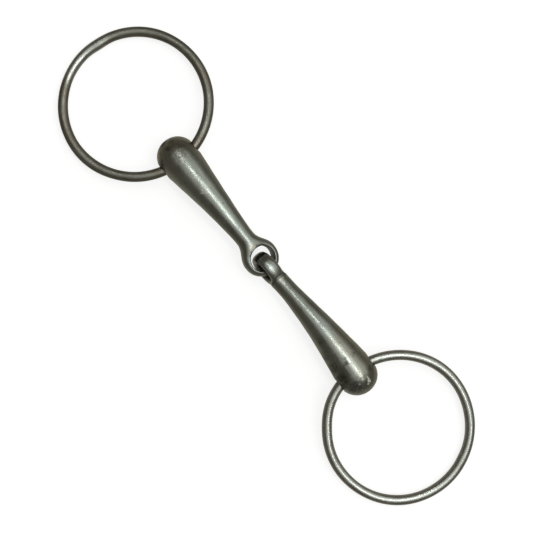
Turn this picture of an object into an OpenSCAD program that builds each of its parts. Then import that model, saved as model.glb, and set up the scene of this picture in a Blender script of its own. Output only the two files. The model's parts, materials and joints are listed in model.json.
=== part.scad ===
// Loose ring snaffle bit with a single-jointed mouthpiece, lying flat.
//
// Four pieces: two wire rings, and two tapered arms (cannons) that link by
// interlocking eyes. Each ring runs loose through a hole in an arm's bulb. The
// left arm's eye lies flat, and the right arm's eye is an upright hook that
// was closed round it.
//
// X runs along the mouthpiece from the left ring to the right ring, and Z is
// up from the surface that the bit lies on. The origin is on that surface,
// midway between the two ring holes.

/* [Rings] */
// Outside diameter of each ring
ring_od = 77.6; // [66:0.1:90]
// Thickness of the ring wire
wire_d = 5; // [4:0.1:5.5]
// Gap left round the wire inside its hole
ring_clearance = 0.3; // [0.25:0.05:0.8]
// Extra radius where a ring hole opens to the outside
mouth_flare = 0.3; // [0.3:0.1:0.8]

/* [Arms] */
// Left arm, from its ring hole to the centre of its eye
left_length = 62.5; // [58:0.1:72]
// Right arm, from its ring hole to the centre of its eye
right_length = 66.1; // [58:0.1:72]
// Widest diameter of an arm, at its ring hole
bulb_d = 20.8; // [19:0.1:22]
// How far an arm runs on past its ring hole
tip_length = 10.8; // [9.5:0.1:14]
// Smallest diameter of the left arm
left_neck_d = 9.8; // [9:0.1:10.5]
// Smallest diameter of the right arm
right_neck_d = 9.3; // [9:0.1:10.5]
// Height of each arm's curve above the line from its hole to its eye
arch = 4.2; // [3:0.1:5]

/* [Joint] */
// Outside diameter of the left eye
left_eye_od = 18.2; // [17.4:0.1:18.6]
// Diameter of the hole in the left eye
left_eye_hole_d = 12.4; // [12:0.1:12.8]
// Outside diameter of the right eye
right_eye_od = 18.4; // [18:0.1:19.2]
// Diameter of the hole in the right eye
right_eye_hole_d = 10.4; // [10.3:0.1:10.8]
// Thickness of both eyes along their holes
eye_thickness = 7.1; // [6.5:0.1:7.2]
// Distance between the two eye centres: the joint is slack, so it is less than the holes allow
eye_offset = 6.4; // [6:0.1:6.8]
// Width of the seam where the right eye was closed round the left one
seam_w = 0.35; // [0.2:0.05:0.6]
// Depth of that seam
seam_depth = 0.9; // [0.5:0.1:1.2]

/* [Hidden] */

$fn = 96;
STEEL = [0.56, 0.57, 0.54];
RING_STEEL = [0.50, 0.50, 0.48];

wire_r = wire_d / 2;
ring_r = (ring_od - wire_d) / 2;
bulb_r = bulb_d / 2;
hole_x = (left_length + right_length + eye_offset) / 2;

// An arm: its length, neck radius, eye radius, radius of the hole in the eye,
// whether the eye is upright, the lean of its curve towards +Y, the roll of
// its eye, how much it dips towards the joint so that it rests on the surface,
// the sideways places of its ring hole and of its eye, and where it starts and
// ends flattening to the eye's thickness, as distances outside the eye's hole.
LEFT = [left_length, left_neck_d / 2, left_eye_od / 2, left_eye_hole_d / 2,
        false, 4, 14, 0.5, -0.3, 0, 2, -3.5];
RIGHT = [right_length, right_neck_d / 2, right_eye_od / 2, right_eye_hole_d / 2,
         true, 16, 13, 1.2, 0.5, -0.45, 2.4, 0.1];
function length(arm) = arm[0];
function neck_r(arm) = arm[1];
function eye_r(arm) = arm[2];
function eye_hole_r(arm) = arm[3];
function is_upright(arm) = arm[4];
function lean(arm) = arm[5];
function eye_roll(arm) = arm[6];
function dip(arm) = arm[7];
function hole_y(arm) = arm[8];
function eye_y(arm) = arm[9];
function flat_start(arm) = eye_hole_r(arm) + arm[10];
function flat_end(arm) = eye_hole_r(arm) + arm[11];

// Shape of an arm. Distances run from the ring hole (0) to the eye centre.
taper_power = 1.27;
tip_power = 2.2;
neck_before_eye = 14;
// The flare into an eye starts this far outside the eye's edge, and ends this far from its centre
flare_out = 3;
flare_end = 2;
// Fillet where the upright eye's outline meets its arm
hook_fillet = 3;
eye_squareness = 3;
// The seam's distance from the edge of the right eye's hole
seam_out = 2;
// Rounding of the left eye's outer and inner edges
outer_round = 2;
inner_round = 0.5;

// Number of sides round an arm, and of steps along its three stretches
SIDES = 32;
TIP_STEPS = 9;
TAPER_STEPS = 12;
FLARE_STEPS = 11;
TIP_START_ANGLE = 3;

// The ring's wire is an arc inside a straight hole: it lies towards the joint
// at mid-hole and away from it at the mouths, by half of the arc's rise.
arc_rise = ring_r - sqrt(ring_r * ring_r - bulb_r * bulb_r);
wire_angle = asin(bulb_r / ring_r);
ring_hole_r = wire_r / cos(wire_angle) + arc_rise / 2 + ring_clearance;
ring_reach = ring_r - arc_rise / 2;

function smooth(t) = let (c = max(0, min(1, t))) c * c * (3 - 2 * c);
function mix(a, b, t) = a + (b - a) * t;
function smooth_max(a, b, k) = max(a, b) + pow(max(0, k - abs(a - b)), 2) / (4 * k);
// Half the chord of a circle at a distance from its centre
function chord(v, r) = sqrt(max(0, r * r - v * v));

// Height and slope of an arm's centreline
function rise_at(u, arm) = 4 * arch * (u / length(arm)) * (1 - u / length(arm));
function slope_at(u, arm) = atan(4 * arch * (1 - 2 * u / length(arm)) / length(arm));

// Radius of the round stretch: a blunt tip, then a taper down to the neck
function round_r(u, arm) =
    u < 0
        ? bulb_r * pow(max(0, 1 - pow(-u / tip_length, tip_power)), 1 / tip_power)
        : neck_r(arm) + (bulb_r - neck_r(arm))
            * pow(max(0, 1 - u / (length(arm) - neck_before_eye)), taper_power);

// How far the arm has flared (0 to 1) and flattened (0 to 1) into its eye
function flare_start(arm) = eye_r(arm) + flare_out;
function flared(u, arm) =
    smooth((u - length(arm) + flare_start(arm)) / (flare_start(arm) - flare_end));
function flattened(u, arm) =
    smooth((u - length(arm) + flat_start(arm)) / (flat_start(arm) - flat_end(arm)));

// Half width in the eye's plane, half thickness across it, and squareness
inside_eye = 0.985;
function half_width(u, arm) =
    is_upright(arm)
        ? smooth_max(round_r(u, arm), chord(length(arm) - u, inside_eye * eye_r(arm)), hook_fillet)
        : mix(round_r(u, arm), inside_eye * eye_r(arm), flared(u, arm));
function half_thick(u, arm) =
    mix(round_r(u, arm), eye_thickness / 2 - 0.1, flattened(u, arm));
function squareness(u, arm) =
    is_upright(arm) ? 2 : mix(2, eye_squareness, flared(u, arm));

function stations(arm) = concat(
    [for (i = [0:TIP_STEPS - 1])
        let (a = mix(TIP_START_ANGLE, 90, i / TIP_STEPS))
        -tip_length * pow(cos(a), 2 / tip_power)],
    [for (i = [0:TAPER_STEPS - 1]) (length(arm) - flare_start(arm)) * i / TAPER_STEPS],
    [for (i = [0:FLARE_STEPS])
        length(arm) - mix(flare_start(arm), flare_end, i / FLARE_STEPS)]
);

function signed_power(v, p) = sign(v) * pow(abs(v), p);

// One cross-section of an arm, turned about the arm as its eye is. An upright
// eye widens the arm in height, and a flat one in width.
function section(u, arm) =
    let (
        w = half_width(u, arm),
        t = half_thick(u, arm),
        p = 2 / squareness(u, arm),
        s = slope_at(u, arm),
        turn = eye_roll(arm) - lean(arm)
    )
    [for (k = [0:SIDES - 1])
        let (
            a = 360 * k / SIDES,
            flat_y = (is_upright(arm) ? t : w) * signed_power(cos(a), p),
            flat_h = (is_upright(arm) ? w : t) * signed_power(sin(a), p),
            y = flat_y * cos(turn) + flat_h * sin(turn),
            h = flat_h * cos(turn) - flat_y * sin(turn)
        )
        [u - h * sin(s), y, rise_at(u, arm) + h * cos(s)]];

function arm_points(arm) = [for (u = stations(arm)) each section(u, arm)];

// Height of an arm's lowest point above its ring hole, as the arm lies
function lowest(arm) = min([for (p = arm_points(arm))
    (p[2] * cos(lean(arm)) - p[1] * sin(lean(arm))) * cos(dip(arm)) - p[0] * sin(dip(arm))]);

// Height of the ring holes above the surface: the bulbs rest on it
hole_z = -min(lowest(LEFT), lowest(RIGHT));
// The rings slope down to rest their far side on the surface
ring_slope = asin((hole_z - wire_r) / (ring_reach + ring_r));

// The arm without its eye: a skin over the cross-sections, closed at both ends
module arm_body(arm) {
    points = arm_points(arm);
    rows = len(points) / SIDES;
    sides = [for (i = [0:rows - 2], k = [0:SIDES - 1])
        let (
            a = i * SIDES + k,
            b = i * SIDES + (k + 1) % SIDES
        )
        each [[a, b + SIDES, b], [a, a + SIDES, b + SIDES]]];
    tip = [[for (k = [0:SIDES - 1]) k]];
    end = [[for (k = [0:SIDES - 1]) rows * SIDES - 1 - k]];
    polyhedron(points, concat(sides, tip, end), convexity = 6);
}

// Moves its children to an arm's eye, with the eye's hole along Z
module at_eye(arm) {
    translate([length(arm), 0, 0])
        rotate([0, -slope_at(length(arm), arm), 0])
            rotate([lean(arm) - eye_roll(arm), 0, 0])
                rotate([is_upright(arm) ? 90 : 0, 0, 0])
                    children();
}

// The flat eye's section: a rectangle standing on the Y axis, with rounded corners
module flat_section(w, h) {
    corners = [
        [w - outer_round, h / 2 - outer_round, outer_round],
        [inner_round, h / 2 - inner_round, inner_round],
        [inner_round, inner_round - h / 2, inner_round],
        [w - outer_round, outer_round - h / 2, outer_round]
    ];
    polygon([for (q = [0:3], a = [0:15:90])
        let (c = corners[q])
        [c[0] + c[2] * cos(90 * q + a), c[1] + c[2] * sin(90 * q + a)]]);
}

// The hook's section: an oval bar, as wide as the eye is thick
module bar_section(w, h) {
    polygon([for (a = [0:10:350]) [w / 2 * (1 + cos(a)), h / 2 * sin(a)]]);
}

module eye_ring(arm) {
    rotate_extrude()
        translate([eye_hole_r(arm), 0])
            if (is_upright(arm))
                bar_section(eye_r(arm) - eye_hole_r(arm), eye_thickness);
            else
                flat_section(eye_r(arm) - eye_hole_r(arm), eye_thickness);
}

module ring_hole() {
    rotate([90, 0, 0])
        cylinder(r = ring_hole_r, h = 3 * bulb_d, center = true);
    flare_depth = 2.5;
    past_mouth = 3;
    for (side = [-1, 1])
        rotate([-90 * side, 0, 0])
            translate([0, 0, bulb_r - flare_depth])
                cylinder(
                    r1 = ring_hole_r,
                    r2 = ring_hole_r + mouth_flare * (flare_depth + past_mouth) / flare_depth,
                    h = flare_depth + past_mouth
                );
}

// Groove over the top of the right eye's root, where the closed hook meets the neck
module seam() {
    u = length(RIGHT) - eye_hole_r(RIGHT) - seam_out;
    translate([u, 0, rise_at(u, RIGHT)])
        rotate([0, -slope_at(u, RIGHT), 0])
            rotate([lean(RIGHT) - eye_roll(RIGHT), 0, 0])
                translate([-seam_w / 2, -bulb_r, half_width(u, RIGHT) - seam_depth])
                    cube([seam_w, bulb_d, bulb_r]);
}

// An arm lying with its ring hole at the origin and its eye towards +X
module lying_arm(arm) {
    difference() {
        rotate([0, 0, atan((eye_y(arm) - hole_y(arm)) / length(arm))])
            rotate([0, dip(arm), 0])
                rotate([-lean(arm), 0, 0])
                    difference() {
                        union() {
                            arm_body(arm);
                            at_eye(arm)
                                eye_ring(arm);
                        }
                        at_eye(arm)
                            cylinder(r = eye_hole_r(arm), h = 3 * eye_thickness, center = true);
                        if (is_upright(arm))
                            seam();
                    }
        ring_hole();
    }
}

module wire_ring() {
    translate([-ring_reach, 0, 0])
        rotate_extrude()
            translate([ring_r, 0])
                circle(d = wire_d, $fn = 64);
}

module left_ring() {
    color(RING_STEEL)
        translate([-hole_x, 0, hole_z])
            rotate([0, -ring_slope, 0])
                wire_ring();
}

module right_ring() {
    color(RING_STEEL)
        translate([hole_x, 0, hole_z])
            rotate([0, ring_slope, 0])
                mirror([1, 0, 0])
                    wire_ring();
}

module left_cannon() {
    color(STEEL)
        translate([-hole_x, hole_y(LEFT), hole_z])
            lying_arm(LEFT);
}

module right_cannon() {
    color(STEEL)
        translate([hole_x, hole_y(RIGHT), hole_z])
            mirror([1, 0, 0])
                lying_arm(RIGHT);
}

left_ring();
left_cannon();
right_cannon();
right_ring();
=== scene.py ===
import json
import math

import bpy
import numpy as np
from mathutils import Matrix, Vector


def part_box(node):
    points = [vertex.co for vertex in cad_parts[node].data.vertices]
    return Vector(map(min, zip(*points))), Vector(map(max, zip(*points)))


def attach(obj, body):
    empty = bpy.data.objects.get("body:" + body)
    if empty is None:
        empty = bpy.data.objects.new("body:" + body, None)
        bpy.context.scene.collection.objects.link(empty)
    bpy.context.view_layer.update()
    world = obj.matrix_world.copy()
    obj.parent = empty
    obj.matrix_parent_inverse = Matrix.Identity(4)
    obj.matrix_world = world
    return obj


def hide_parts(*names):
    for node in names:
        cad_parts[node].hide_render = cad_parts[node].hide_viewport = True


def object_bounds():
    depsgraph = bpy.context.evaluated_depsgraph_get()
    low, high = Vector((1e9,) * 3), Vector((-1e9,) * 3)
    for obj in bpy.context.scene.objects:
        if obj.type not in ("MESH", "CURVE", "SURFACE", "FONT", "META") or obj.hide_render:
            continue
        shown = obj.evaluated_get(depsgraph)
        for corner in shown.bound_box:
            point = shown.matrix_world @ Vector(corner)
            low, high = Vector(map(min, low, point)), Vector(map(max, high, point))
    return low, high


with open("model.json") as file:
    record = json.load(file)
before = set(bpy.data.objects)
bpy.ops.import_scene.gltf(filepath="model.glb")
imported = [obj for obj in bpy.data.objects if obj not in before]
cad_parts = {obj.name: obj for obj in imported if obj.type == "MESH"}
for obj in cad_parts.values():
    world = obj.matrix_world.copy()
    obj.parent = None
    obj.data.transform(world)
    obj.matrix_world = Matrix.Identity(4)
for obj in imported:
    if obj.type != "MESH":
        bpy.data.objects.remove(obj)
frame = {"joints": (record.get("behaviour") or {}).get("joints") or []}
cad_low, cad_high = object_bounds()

# A loose ring snaffle bit, lying flat and seen from straight above. Lengths are
# in millimetres up to make_object(), which turns them into metres.
MM = 0.001
JOINTS = {joint["name"]: joint for joint in frame["joints"]}
LEFT_HOLE = np.array(JOINTS["left_ring_swing"]["pos_m"]) / MM
RIGHT_HOLE = np.array(JOINTS["right_ring_swing"]["pos_m"]) / MM

# ---------------------------------------------------------------- sizes
# The arms' main sizes are those of the CAD part. How the eyes are rounded and meet
# the shanks is finer here. Distances along an arm run from its ring hole (0) to the
# centre of its eye (length).
ARCH = 4.2
BULB_R = 10.4
TAPER_START_R = 10.55
TIP_LENGTH = 10.8
TIP_POWER = 2.2
TAPER_POWER = 1.27
NECK_BEFORE_EYE = 14
FLARE_OUT, FLARE_END = 3.0, 2.0
HOOK_FILLET = 3.0
EYE_SQUARENESS = 3.0
EYE_HALF = 3.55
EYE_INSET = 0.35
EYE_FILLET = 1.8
HOOK_POWER = 2.3
CROWN_POWER = 2.4
RIM_ROUND = 0.5
RING_HOLE_R = 3.67
MOUTH_ROUND = 0.3
# The closed hook's seam is finer than in the CAD part, and dirty along its sides.
SEAM_OUT = 2.0
SEAM_W = 0.24
SEAM_DEPTH = 0.55
SEAM_SLANT = 0.06
SEAM_GRIME_W = 0.45
# Lean and roll turn the arm about its length, and dip lowers its eye. The flat
# stretch goes by distance before the eye's centre. Inset is how far the shank stays
# inside the eye's outline.
LEFT_ARM = {
    "length": 62.5, "neck": 4.9, "eye_r": 9.1, "eye_hole_r": 6.2, "upright": False,
    "lean": math.radians(4), "roll": math.radians(14), "dip": math.radians(0.5),
    "hole_y": -0.3, "eye_y": 0.0, "flat_start": 8.2, "flat_end": 2.7, "inset": 0.9,
}
RIGHT_ARM = {
    "length": 66.1, "neck": 4.65, "eye_r": 9.2, "eye_hole_r": 5.2, "upright": True,
    "lean": math.radians(16), "roll": math.radians(13), "dip": math.radians(1.2),
    "hole_y": 0.5, "eye_y": -0.45, "flat_start": 7.6, "flat_end": 5.3, "inset": 1.2,
}

# Dark smudges and pits, painted shade, warm stains and painted glints on the arms'
# upper sides: distance from the ring hole, distance across (towards +Y), radius and
# strength. They fade out over a bit more than the radius, and below a depth under the arm's top.
PATCH_SPREAD = 1.4
PATCH_DEPTH = 1.5
# The left arm's real smudges and pits; the last, wide patch over the bulb's top is painted shade.
LEFT_SMUDGES_AND_SHADE = [
    (-9.6, -1.6, 2.0, 1.0), (-8.3, 2.2, 1.6, 0.7), (-6.4, -1.2, 1.5, 0.75), (-3.4, -8.2, 1.8, 0.7),
    (0.4, 1.0, 0.7, 0.7), (-3.1, 0.2, 0.6, 0.6), (1.2, -3.0, 0.6, 0.4), (18.0, -2.0, 1.0, 0.35),
    (-2.0, 0.5, 4.5, 0.55),
]
# The large patches on the -Y side, from the tip to 15 along, are painted shade along the side turned away
# from the lights; the rest are real smudges and pits.
RIGHT_SMUDGES_AND_SHADE = [
    (7.0, -0.6, 1.3, 0.9), (9.4, 0.0, 1.2, 0.65), (8.2, 5.1, 1.1, 0.7), (22.4, -3.9, 1.4, 0.6),
    (30.9, -1.6, 1.2, 0.5), (29.0, 2.0, 1.3, 0.5), (-5.0, -6.0, 2.0, 0.7), (-2.5, 6.6, 1.6, 0.7),
    (11.2, 7.0, 1.2, 0.5), (17.0, 3.0, 0.8, 0.4), (2.0, -7.2, 4.0, 0.8), (8.5, -7.6, 3.6, 0.75),
    (-4.5, -3.5, 3.0, 0.75), (15.0, -7.4, 3.0, 0.65),
]
# The first patch, at the eye's root, is a painted highlight; the other two are real warm stains.
LEFT_STAINS_AND_HIGHLIGHT = [
    (56.2, 0.3, 1.3, 1.0), (20.0, -0.6, 2.0, 0.4), (12.0, 0.5, 2.0, 0.35),
]
# The spots at the tip, before the ring hole, are painted glints; the three just past the hook's seam are
# cream spots.
RIGHT_GLINTS_AND_CREAM_SPOTS = [
    (-0.8, 1.5, 0.35, 0.8), (-1.9, 1.3, 0.4, 0.9), (-3.0, 1.0, 0.45, 1.0), (-4.2, 0.7, 0.5, 1.0),
    (-4.8, 3.3, 0.45, 0.8), (-5.9, 3.1, 0.55, 1.0), (-6.8, 2.5, 0.75, 1.0), (-7.4, 1.4, 0.6, 1.0),
    (-5.0, -2.0, 0.45, 0.9), (58.3, 0.4, 0.5, 0.9), (57.3, 0.5, 0.6, 0.9), (56.2, 0.4, 0.8, 1.0),
]

# The rings: where the wire's ends were welded and how thick the weld is, the arc
# worn bright, and how far the ring is squashed and in which direction. Angle 0 is
# the point furthest from the mouthpiece.
WIRE_R = 2.5
RING_R = 36.3
LEFT_RING = {
    "weld_angle": math.radians(7), "weld_size": 1.0, "worn": (math.radians(-38), math.radians(20)),
    "squash": 0.0, "squash_angle": 0.0, "seed": 3,
}
RIGHT_RING = {
    "weld_angle": math.radians(25), "weld_size": 0.3, "worn": (math.radians(-170), math.radians(170)),
    "squash": 0.36, "squash_angle": math.radians(51), "seed": 8,
}

# Spacing of the grids that the arms' surfaces are found on.
EYE_STEP = 0.25
CROSS_STEP = 0.30
BULB_STEP = 0.34
SHANK_STEP = 0.7


# ---------------------------------------------------------------- fields
NEAR_AXIS = 1e-3  # Keeps the ratios off zero on a centreline.


def smooth(t):
    t = np.clip(t, 0, 1)
    return t * t * (3 - 2 * t)


def mix(a, b, t):
    return a + (b - a) * t


def soft_min(a, b, k):
    h = np.maximum(k - np.abs(a - b), 0) / k
    return np.minimum(a, b) - h * h * k / 4


def soft_max(a, b, k):
    return -soft_min(-a, -b, k)


def rise(u, length):
    """Height of the arm's arched centreline."""
    return 4 * ARCH * (u / length) * (1 - u / length)


def rise_slope(u, length):
    return 4 * ARCH * (1 - 2 * u / length) / length


def arm_radius(u, arm):
    left = np.clip(1 - u / (arm["length"] - NECK_BEFORE_EYE), 0, 1)
    taper = arm["neck"] + (TAPER_START_R - arm["neck"]) * left**TAPER_POWER
    return soft_min(taper, BULB_R, 0.3)


def turned(y, h, angle):
    """Offsets across and above the centreline, turned about it by an angle."""
    c, s = math.cos(angle), math.sin(angle)
    return y * c - h * s, h * c + y * s


def arm_body(p, arm):
    """Rough signed distance from the arm without its eye, in the arm's own frame."""
    length = arm["length"]
    x, y, z = p[..., 0], p[..., 1], p[..., 2]
    u = x
    for _ in range(3):
        u = np.clip(x + (z - rise(u, length)) * rise_slope(u, length), -20, length + 12)
    slope = np.arctan(rise_slope(u, length))
    h = (z - rise(u, length)) * np.cos(slope) - (x - u) * np.sin(slope)
    y, h = turned(y, h, arm["roll"] - arm["lean"])
    flare_start = arm["eye_r"] + FLARE_OUT
    flare = smooth((u - length + flare_start) / (flare_start - FLARE_END))
    flat = smooth((u - length + arm["flat_start"]) / (arm["flat_start"] - arm["flat_end"]))
    radius = arm_radius(u, arm)
    if arm["upright"]:
        chord = np.sqrt(np.maximum((arm["eye_r"] - arm["inset"]) ** 2 - (length - u) ** 2, 0))
        wide = soft_max(radius, chord, HOOK_FILLET)
    else:
        wide = mix(radius, arm["eye_r"] - arm["inset"], flare)
    thin = mix(radius, EYE_HALF - EYE_INSET, flat)
    power = 2.0 if arm["upright"] else mix(2, EYE_SQUARENESS, flare)
    across, through = (h, y) if arm["upright"] else (y, h)
    out = np.hypot(y, h)
    ratio = ((np.abs(across) / wide) ** power + (np.abs(through) / thin) ** power) ** (1 / power)
    side = out * (1 - 1 / np.maximum(ratio, NEAR_AXIS))
    back = np.maximum(-u, 0)
    ratio = ((back / TIP_LENGTH) ** TIP_POWER + (out / BULB_R) ** TIP_POWER) ** (1 / TIP_POWER)
    tip = np.hypot(back, out) * (1 - 1 / np.maximum(ratio, NEAR_AXIS))
    body = np.where(u < 0, tip, side)
    return np.maximum(body, u - (length - FLARE_END)), u, h


def eye_axes(arm):
    """Directions along the arm, across the eye's plane and along its hole."""
    slope = math.atan(rise_slope(arm["length"], arm["length"]))
    along = np.array([math.cos(slope), 0, math.sin(slope)])
    up = np.array([-math.sin(slope), 0, math.cos(slope)])
    side = np.array([0.0, 1.0, 0.0])
    c, s = math.cos(arm["roll"] - arm["lean"]), math.sin(arm["roll"] - arm["lean"])
    side, up = c * side - s * up, c * up + s * side
    return (along, up, side) if arm["upright"] else (along, side, up)


def lying(arm, arm_side):
    """Turns the arm's own frame into the row's directions."""
    c, s = math.cos(arm["lean"]), math.sin(arm["lean"])
    leaned = np.array([[1, 0, 0], [0, c, s], [0, -s, c]])
    c, s = math.cos(arm["dip"]), math.sin(arm["dip"])
    dipped = np.array([[c, 0, s], [0, 1, 0], [-s, 0, c]])
    yaw = math.atan((arm["eye_y"] - arm["hole_y"]) / arm["length"])
    c, s = math.cos(yaw), math.sin(yaw)
    yawed = np.array([[c, -s, 0], [s, c, 0], [0, 0, 1]])
    return np.diag([arm_side, 1.0, 1.0]) @ yawed @ dipped @ leaned


def eye_distance(eye_out, eye_z, arm):
    """Rough signed distance from the eye: the hook is an oval bar, the flat eye a crowned one."""
    hole_r, eye_r = arm["eye_hole_r"], arm["eye_r"]
    if arm["upright"]:
        across, half_w, power = eye_out - (eye_r + hole_r) / 2, (eye_r - hole_r) / 2, HOOK_POWER
        width = np.abs(across) / half_w
    else:
        across, half_w, power = eye_out - hole_r, eye_r - hole_r, CROWN_POWER
        width = np.maximum(across, 0) / half_w
    ratio = (width**power + (np.abs(eye_z) / EYE_HALF) ** power) ** (1 / power)
    d = np.hypot(across, eye_z) * (1 - 1 / np.maximum(ratio, NEAR_AXIS))
    return d if arm["upright"] else np.maximum(d, -across)


def seam_place(arm):
    """How far along the arm the closed hook's end meets the shank."""
    return arm["length"] - arm["eye_hole_r"] - SEAM_OUT


def arm_field(p, arm, to_row):
    """Rough signed distance from one whole arm, in its own frame."""
    body, u, h = arm_body(p, arm)
    along, across, axis = eye_axes(arm)
    q = p - np.array([arm["length"], 0, 0])
    eye_out = np.hypot(q @ along, q @ across)
    d = soft_min(body, eye_distance(eye_out, q @ axis, arm), EYE_FILLET)
    d = soft_max(d, arm["eye_hole_r"] - eye_out, 2 * RIM_ROUND)
    row = p @ to_row.T
    d = soft_max(d, RING_HOLE_R - np.hypot(row[..., 0], row[..., 2]), 2 * MOUTH_ROUND)
    if arm["upright"]:
        seam = np.abs(u - seam_place(arm) - SEAM_SLANT * p[..., 1]) - SEAM_W / 2
        cut = np.maximum(np.maximum(seam, -(d + SEAM_DEPTH)), 1.5 - h)
        d = soft_max(d, -cut, 0.2)
    return d


def gradient(field, p, step=0.02):
    g = np.empty_like(p)
    for axis in range(3):
        offset = np.zeros(3)
        offset[axis] = step
        g[:, axis] = (field(p + offset) - field(p - offset)) / (2 * step)
    return g


def neighbours(axis):
    """Slices that pair each grid point with the next one along an axis."""
    a, b = [slice(None)] * 3, [slice(None)] * 3
    a[axis], b[axis] = slice(None, -1), slice(1, None)
    return tuple(a), tuple(b)


def surface_net(field, xs, ys, zs):
    """Quads over the zero surface of a field on a grid, with their points moved onto it."""
    grid = np.stack(np.meshgrid(xs, ys, zs, indexing="ij"), axis=-1)
    values = field(grid)
    inside = values < 0
    shape = np.array(values.shape) - 1
    total = np.zeros((*shape, 3))
    count = np.zeros(tuple(shape))
    for axis in range(3):
        a, b = neighbours(axis)
        crossing = inside[a] != inside[b]
        share = np.where(crossing, values[a] / np.where(crossing, values[a] - values[b], 1), 0)
        point = grid[a] + share[..., None] * (grid[b] - grid[a])
        others = [i for i in range(3) if i != axis]
        for da in (0, 1):
            for db in (0, 1):
                cut = [slice(None)] * 3
                cut[others[0]] = slice(da, da + shape[others[0]])
                cut[others[1]] = slice(db, db + shape[others[1]])
                cut = tuple(cut)
                total += np.where(crossing[cut][..., None], point[cut], 0)
                count += crossing[cut]
    index = -np.ones(tuple(shape), int)
    used = count > 0
    index[used] = np.arange(used.sum())
    points = total[used] / count[used][:, None]
    quads = []
    for axis in range(3):
        a, b = neighbours(axis)
        start = inside[a]
        crossing = start != inside[b]
        i, j, k = np.nonzero(crossing)
        where = np.stack([i, j, k], axis=1)
        first, second = [(1, 2), (2, 0), (0, 1)][axis]
        keep = (where[:, first] > 0) & (where[:, second] > 0)
        where = where[keep]
        flip = ~start[crossing][keep]
        one = np.eye(3, dtype=int)
        corners = [where - one[first] - one[second], where - one[second], where, where - one[first]]
        quad = np.stack([index[tuple(c.T)] for c in corners], axis=1)
        quad[flip] = quad[flip][:, ::-1]
        quads.append(quad)
    quads = np.concatenate(quads)
    for _ in range(4):
        d = field(points)
        g = gradient(field, points)
        size = np.maximum((g * g).sum(axis=1), 0.05)
        move = np.clip(d / size, -0.15, 0.15)
        points = points - g * move[:, None]
    return points, quads


def graded(stops):
    """Grid lines from (place, spacing) stops: each spacing holds until the next place."""
    lines = []
    for (a, step), (b, _) in zip(stops, stops[1:]):
        count = max(1, round((b - a) / step))
        lines.extend(a + (b - a) * np.arange(count) / count)
    return np.array(lines + [stops[-1][0]])


# ---------------------------------------------------------------- meshes
def patches(along, across, height, arm, places):
    """How strongly each point is covered by soft round patches on the upper side."""
    upper = smooth((height + 2) / 3)
    cover = np.zeros(len(along))
    for u, v, radius, strength in places:
        round_r = arm_radius(u, arm) * (1 - (max(-u, 0) / TIP_LENGTH) ** TIP_POWER) ** (1 / TIP_POWER)
        top = rise(u, arm["length"]) + math.sqrt(max(round_r**2 - v**2, 0))
        below = np.maximum(np.abs(height - top) - PATCH_DEPTH, 0)
        spot = np.exp(-((along - u) ** 2 + (across - v) ** 2 + below**2) / (PATCH_SPREAD * radius) ** 2)
        cover = np.maximum(cover, strength * spot * upper)
    return cover


def make_object(name, points, quads, body, replaced, attributes):
    mesh = bpy.data.meshes.new(name)
    mesh.vertices.add(len(points))
    mesh.vertices.foreach_set("co", (points * MM).astype(np.float32).ravel())
    mesh.loops.add(quads.size)
    mesh.loops.foreach_set("vertex_index", quads.ravel().astype(np.int32))
    mesh.polygons.add(len(quads))
    mesh.polygons.foreach_set("loop_start", (np.arange(len(quads)) * 4).astype(np.int32))
    mesh.polygons.foreach_set("use_smooth", np.ones(len(quads), bool))
    mesh.update(calc_edges=True)
    mesh.validate()
    for key, values in attributes.items():
        layer = mesh.attributes.new(key, "FLOAT", "POINT")
        layer.data.foreach_set("value", values.astype(np.float32))
    piece = bpy.data.objects.new(name, mesh)
    bpy.context.scene.collection.objects.link(piece)
    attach(piece, body)
    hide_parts(replaced)
    return piece


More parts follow.
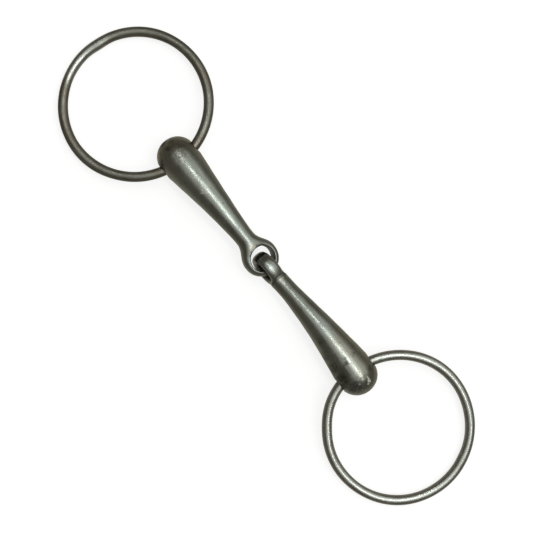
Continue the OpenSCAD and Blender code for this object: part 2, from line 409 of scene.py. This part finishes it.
def cannon(name, arm, hole, arm_side):
    """One arm of the mouthpiece; arm_side is the way along X that the arm runs from its ring hole."""
    to_row = lying(arm, arm_side)
    hole = hole + np.array([0, arm["hole_y"], 0])
    length = arm["length"]
    xs = graded([(-15.5, BULB_STEP), (7.0, SHANK_STEP), (length - 15, EYE_STEP), (length + 11, EYE_STEP)])
    across = graded([(-11.2, CROSS_STEP), (11.2, CROSS_STEP)])
    up = graded([(-12.4, CROSS_STEP), (15.0, CROSS_STEP)])
    points, quads = surface_net(lambda p: arm_field(p, arm, to_row), xs, across, up)
    # The arms are slightly uneven, but not at the eyes, which have to stay clear of each other.
    lumps = (
        0.035 * np.sin(points[:, 0] * 0.23 + 1.3) * np.sin(points[:, 1] * 0.31 + 0.4)
        + 0.025 * np.sin(points[:, 0] * 0.61 + points[:, 2] * 0.37)
    )
    normal = gradient(lambda p: arm_field(p, arm, to_row), points)
    normal /= np.linalg.norm(normal, axis=1)[:, None] + 1e-9
    points = points + normal * lumps[:, None] * smooth((length - 16 - points[:, 0]) / 10)[:, None]
    row = points @ to_row.T
    along, across_eye, axis = eye_axes(arm)
    q = points - np.array([length, 0, 0])
    eye_out = np.hypot(q @ along, q @ across_eye)
    # Painted shade inside the eye's hole and the ring hole, darkening their walls and mouths; the seam's
    # grime below is a real dark joint.
    shade_in_eye = smooth((arm["eye_hole_r"] + 1.0 - eye_out) / 1.2)
    shade_in_hole = smooth((RING_HOLE_R + 0.9 - np.hypot(row[:, 0], row[:, 2])) / 1.2)
    seam = np.zeros(len(points))
    if arm["upright"]:
        seam = 0.7 * smooth(1 - np.abs(points[:, 0] - seam_place(arm)) / SEAM_GRIME_W) * (points[:, 2] > 1)
    if arm_side < 0:
        quads = quads[:, ::-1]
    grime_and_shade = np.maximum(np.maximum(shade_in_eye, shade_in_hole), seam)
    smudges_and_shade, stains_and_glints = (RIGHT_SMUDGES_AND_SHADE, RIGHT_GLINTS_AND_CREAM_SPOTS) if arm["upright"] else (LEFT_SMUDGES_AND_SHADE, LEFT_STAINS_AND_HIGHLIGHT)
    layers = {
        "grime_and_shade": grime_and_shade,
        "smudge_and_shade": patches(points[:, 0], row[:, 1], row[:, 2], arm, smudges_and_shade),
        "stain_and_glint": patches(points[:, 0], row[:, 1], row[:, 2], arm, stains_and_glints),
    }
    return make_object(name, row + hole, quads, name, name, layers)


def a_turn(a):
    """An angle round a ring, brought to between minus and plus half a turn."""
    return np.angle(np.exp(1j * a))


def ring(name, side, wear):
    """A wire ring: a slightly uneven torus, kinked and thicker at its weld, and worn bright over an arc."""
    lo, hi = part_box(name)
    tall = (hi.z - lo.z) / MM
    slope = math.asin((tall - 2 * WIRE_R) / (2 * RING_R))
    centre_z = (hi.z + lo.z) / 2 / MM
    centre_x = (hi.x + lo.x) / 2 / MM
    rng = np.random.default_rng(wear["seed"])
    phases = rng.uniform(0, 2 * math.pi, 6)
    n_round, n_wire = 288, 32
    a = np.linspace(0, 2 * math.pi, n_round, endpoint=False)
    b = np.linspace(0, 2 * math.pi, n_wire, endpoint=False)
    a, b = np.meshgrid(a, b, indexing="ij")
    # Unevenness fades out near the hole.
    free = smooth((np.cos(a) + 0.93) / 0.35)
    from_weld = a_turn(a - wear["weld_angle"])
    weld_size = wear["weld_size"]
    weld = np.exp(-((from_weld / 0.15) ** 2))
    worn_from, worn_to = wear["worn"]
    worn = smooth((a_turn(a) - worn_from) / 0.2) * smooth((worn_to - a_turn(a)) / 0.2)
    wire = WIRE_R + free * (
        0.04 * np.sin(3 * a + phases[0]) + 0.03 * np.sin(7 * a + 2 * b + phases[1]) + 0.2 * weld_size * weld
    )
    reach = RING_R + free * (
        0.05 * np.sin(3 * a + phases[2]) + 0.05 * np.sin(5 * a + phases[3]) - 0.35 * weld_size * weld
        - wear["squash"] * (1 + np.cos(2 * (a - wear["squash_angle"])))
    )
    radial = reach + wire * np.cos(b)
    x = radial * np.cos(a)
    y = radial * np.sin(a)
    z = wire * np.sin(b)
    row = np.stack(
        [
            centre_x + side * (x * math.cos(slope) + z * math.sin(slope)),
            y,
            centre_z - x * math.sin(slope) + z * math.cos(slope),
        ],
        axis=-1,
    ).reshape(-1, 3)
    i, j = np.meshgrid(np.arange(n_round), np.arange(n_wire), indexing="ij")
    i2, j2 = (i + 1) % n_round, (j + 1) % n_wire
    quads = np.stack([i * n_wire + j, i2 * n_wire + j, i2 * n_wire + j2, i * n_wire + j2], axis=-1)
    quads = quads.reshape(-1, 4)
    if side < 0:
        quads = quads[:, ::-1]
    pitted = 0.35 * weld_size * np.exp(-((from_weld / 0.02) ** 2))
    layers = {"grime_and_shade": pitted.ravel(), "worn": worn.ravel()}
    return make_object(name, row, quads, name, name, layers)


# ---------------------------------------------------------------- materials
def node(tree, kind, **values):
    made = tree.nodes.new(kind)
    for key, value in values.items():
        if key in made.inputs:
            made.inputs[key].default_value = value
        else:
            setattr(made, key, value)
    return made


# Cream: the colour of real stains, and of painted glints and a painted highlight.
CREAM = (0.78, 0.74, 0.64)
BARE_STEEL = (0.62, 0.63, 0.60)


def steel(name, clean, dark, warm, rough):
    """Used steel: blotched and specked, with the mesh's grime, painted shade in the holes and on the arms'
    sides, smudges, stains, painted glints and worn places.
    """
    material = bpy.data.materials.new(name)
    material.use_nodes = True
    tree = material.node_tree
    link = tree.links.new
    shader = tree.nodes["Principled BSDF"]
    place = node(tree, "ShaderNodeTexCoord").outputs["Object"]

    def noise(scale, detail, roughness=0.5):
        made = node(tree, "ShaderNodeTexNoise", Scale=scale, Detail=detail, Roughness=roughness)
        link(place, made.inputs["Vector"])
        return made.outputs["Fac"]

    def ramp(value, low, high, start=0.0, end=1.0):
        made = node(tree, "ShaderNodeMapRange")
        for key, number in (("From Min", low), ("From Max", high), ("To Min", start), ("To Max", end)):
            made.inputs[key].default_value = number
        link(value, made.inputs["Value"])
        return made.outputs["Result"]

    def blend(a, b, factor):
        made = node(tree, "ShaderNodeMix", data_type="RGBA")
        link(factor, made.inputs["Factor"])
        for key, value in ((6, a), (7, b)):
            if isinstance(value, tuple):
                made.inputs[key].default_value = (*value, 1)
            else:
                link(value, made.inputs[key])
        return made.outputs[2]

    def maths(kind, a, b):
        made = node(tree, "ShaderNodeMath", operation=kind)
        for key, value in ((0, a), (1, b)):
            if isinstance(value, (int, float)):
                made.inputs[key].default_value = value
            else:
                link(value, made.inputs[key])
        return made.outputs[0]

    def layer(key):
        return node(tree, "ShaderNodeAttribute", attribute_name=key).outputs["Fac"]

    blotches = ramp(noise(70, 5, 0.6), 0.42, 0.62)
    warmth = ramp(noise(35, 3), 0.5, 0.68)
    specks = ramp(noise(620, 4, 0.65), 0.60, 0.72)
    # Smudges with their painted shade, and stains with their painted glints, have ragged edges: noise is
    # taken off their cover before it is cut.
    ragged = maths("MULTIPLY", ramp(noise(750, 6, 0.75), 0.3, 0.7), 0.75)
    smudge_and_shade = ramp(maths("SUBTRACT", layer("smudge_and_shade"), ragged), -0.1, 0.5)
    stain_and_glint = ramp(maths("SUBTRACT", layer("stain_and_glint"), ragged), -0.1, 0.3)
    colour = blend(clean, tuple(0.80 * c for c in clean), blotches)
    colour = blend(colour, warm, maths("MULTIPLY", warmth, 0.5))
    colour = blend(colour, CREAM, maths("MULTIPLY", stain_and_glint, 0.8))
    # Darkened: specks, seam and weld grime, painted shade in the eye and ring holes, smudges and painted
    # shade on the arms' sides.
    dirt_and_shade = maths("MAXIMUM", maths("MULTIPLY", specks, 0.35), maths("MULTIPLY", layer("grime_and_shade"), 0.85))
    dirt_and_shade = maths("MAXIMUM", dirt_and_shade, maths("MULTIPLY", smudge_and_shade, 0.8))
    rubbed = maths("MULTIPLY", layer("worn"), ramp(noise(300, 5, 0.7), 0.3, 0.5, 0.5, 1.0))
    colour = blend(colour, BARE_STEEL, maths("MULTIPLY", rubbed, 0.7))
    colour = blend(colour, dark, dirt_and_shade)
    link(colour, shader.inputs["Base Color"])
    roughness = ramp(noise(160, 5, 0.6), 0.35, 0.7, rough - 0.06, rough + 0.10)
    roughness = maths("SUBTRACT", roughness, maths("MULTIPLY", layer("worn"), 0.16))
    link(maths("ADD", roughness, maths("MULTIPLY", dirt_and_shade, 0.2)), shader.inputs["Roughness"])
    # Stains and painted glints are less metallic, so the lamps show on them as a diffuse cream.
    link(maths("SUBTRACT", 1.0, maths("MULTIPLY", stain_and_glint, 0.8)), shader.inputs["Metallic"])
    scratches = node(tree, "ShaderNodeTexNoise", Scale=900, Detail=3)
    stretch = node(tree, "ShaderNodeMapping", Scale=(0.12, 1, 1))
    link(place, stretch.inputs["Vector"])
    link(stretch.outputs["Vector"], scratches.inputs["Vector"])
    height = maths("ADD", scratches.outputs["Fac"], maths("MULTIPLY", noise(260, 4), 1.6))
    bump = node(tree, "ShaderNodeBump", Strength=0.09, Distance=0.00012)
    link(height, bump.inputs["Height"])
    link(bump.outputs["Normal"], shader.inputs["Normal"])
    return material


# ---------------------------------------------------------------- the bit
left_cannon = cannon("left_cannon", LEFT_ARM, LEFT_HOLE, 1)
right_cannon = cannon("right_cannon", RIGHT_ARM, RIGHT_HOLE, -1)
left_ring = ring("left_ring", -1, LEFT_RING)
right_ring = ring("right_ring", 1, RIGHT_RING)
cannon_steel = steel(
    "cannon_steel", clean=(0.37, 0.385, 0.355), dark=(0.03, 0.028, 0.022), warm=(0.40, 0.37, 0.30), rough=0.27
)
ring_steel = steel(
    "ring_steel", clean=(0.29, 0.28, 0.245), dark=(0.05, 0.042, 0.033), warm=(0.27, 0.225, 0.17), rough=0.42
)
for piece in (left_cannon, right_cannon):
    piece.data.materials.append(cannon_steel)
for piece in (left_ring, right_ring):
    piece.data.materials.append(ring_steel)

# ---------------------------------------------------------------- stage
scene = bpy.context.scene
scene.view_settings.view_transform = "Standard"

world = bpy.data.worlds.new("world")
scene.world = world
world.use_nodes = True
# The room is dim and warm, and lighter from below, where it stands for the pale table.
background = world.node_tree.nodes["Background"]
background.inputs["Color"].default_value = (1.0, 0.94, 0.78, 1)
direction = node(world.node_tree, "ShaderNodeTexCoord").outputs["Generated"]
split = node(world.node_tree, "ShaderNodeSeparateXYZ")
lightness = node(world.node_tree, "ShaderNodeMapRange")
for key, value in (("From Min", -0.75), ("From Max", 0.1), ("To Min", 0.34), ("To Max", 0.12)):
    lightness.inputs[key].default_value = value
world.node_tree.links.new(direction, split.inputs["Vector"])
world.node_tree.links.new(split.outputs["Z"], lightness.inputs["Value"])
world.node_tree.links.new(lightness.outputs["Result"], background.inputs["Strength"])

HALF_FLOOR = 3.0
FLOOR_DROP = 0.0002
corners = [(x * HALF_FLOOR, y * HALF_FLOOR, 0) for x, y in ((-1, -1), (1, -1), (1, 1), (-1, 1))]
floor_mesh = bpy.data.meshes.new("floor")
floor_mesh.from_pydata(corners, [], [(0, 1, 2, 3)])
floor = bpy.data.objects.new("floor", floor_mesh)
scene.collection.objects.link(floor)
floor.location.z = cad_low.z - FLOOR_DROP
floor.visible_glossy = False
paper = bpy.data.materials.new("floor_paper")
paper.use_nodes = True
for socket, value in (
    ("Base Color", (0.42, 0.42, 0.42, 1)),
    ("Roughness", 0.9),
    ("Emission Color", (1, 1, 1, 1)),
    ("Emission Strength", 0.78),
):
    paper.node_tree.nodes["Principled BSDF"].inputs[socket].default_value = value
floor_mesh.materials.append(paper)


def soft_light(name, place, aim, size, power, colour, width=None):
    """An area light: a disc, or with a width a strip that runs along X."""
    data = bpy.data.lights.new(name, "AREA")
    data.shape = "DISK" if width is None else "RECTANGLE"
    data.size = size
    if width is not None:
        data.size_y = width
    data.energy = power
    data.color = colour
    lamp = bpy.data.objects.new(name, data)
    scene.collection.objects.link(lamp)
    lamp.location = place
    lamp.rotation_euler = (Vector(aim) - Vector(place)).to_track_quat("-Z", "Y").to_euler()


soft_light("key", (0.1, 0.34, 1.5), (0.1, 0, 0), 2.2, 4.0, (0.94, 1.0, 1.0), 0.1)
soft_light("softbox", (0.34, 0.40, 1.6), (0, 0, 0), 1.2, 3.8, (0.93, 1.0, 0.99))
soft_light("overhead", (0.25, 0.60, 2.0), (0, 0, 0), 4.4, 22, (0.95, 1.0, 0.95))
soft_light("side", (0.4, 2.0, 1.3), (0, 0, 0), 2.4, 3.0, (0.97, 1.0, 0.93))

# ---------------------------------------------------------------- camera
# Straight down; the mouthpiece runs from the upper left to the lower right.
MOUTH_ANGLE = math.radians(50.88)
LENS = 85
SENSOR = 36
FRAME_WIDTH = 0.2612
SUBJECT_HEIGHT = 0.010
AIM_Y = -0.00044
camera_data = bpy.data.cameras.new("camera")
camera_data.lens = LENS
camera_data.sensor_width = SENSOR
camera = bpy.data.objects.new("camera", camera_data)
scene.collection.objects.link(camera)
right = Vector((math.cos(MOUTH_ANGLE), math.sin(MOUTH_ANGLE), 0))
up = Vector((-math.sin(MOUTH_ANGLE), math.cos(MOUTH_ANGLE), 0))
back = Vector((0, 0, 1))
height = SUBJECT_HEIGHT + FRAME_WIDTH * LENS / SENSOR
turn = Matrix((right, up, back)).transposed().to_4x4()
camera.matrix_world = Matrix.Translation(Vector((0, AIM_Y, height))) @ turn
scene.camera = camera
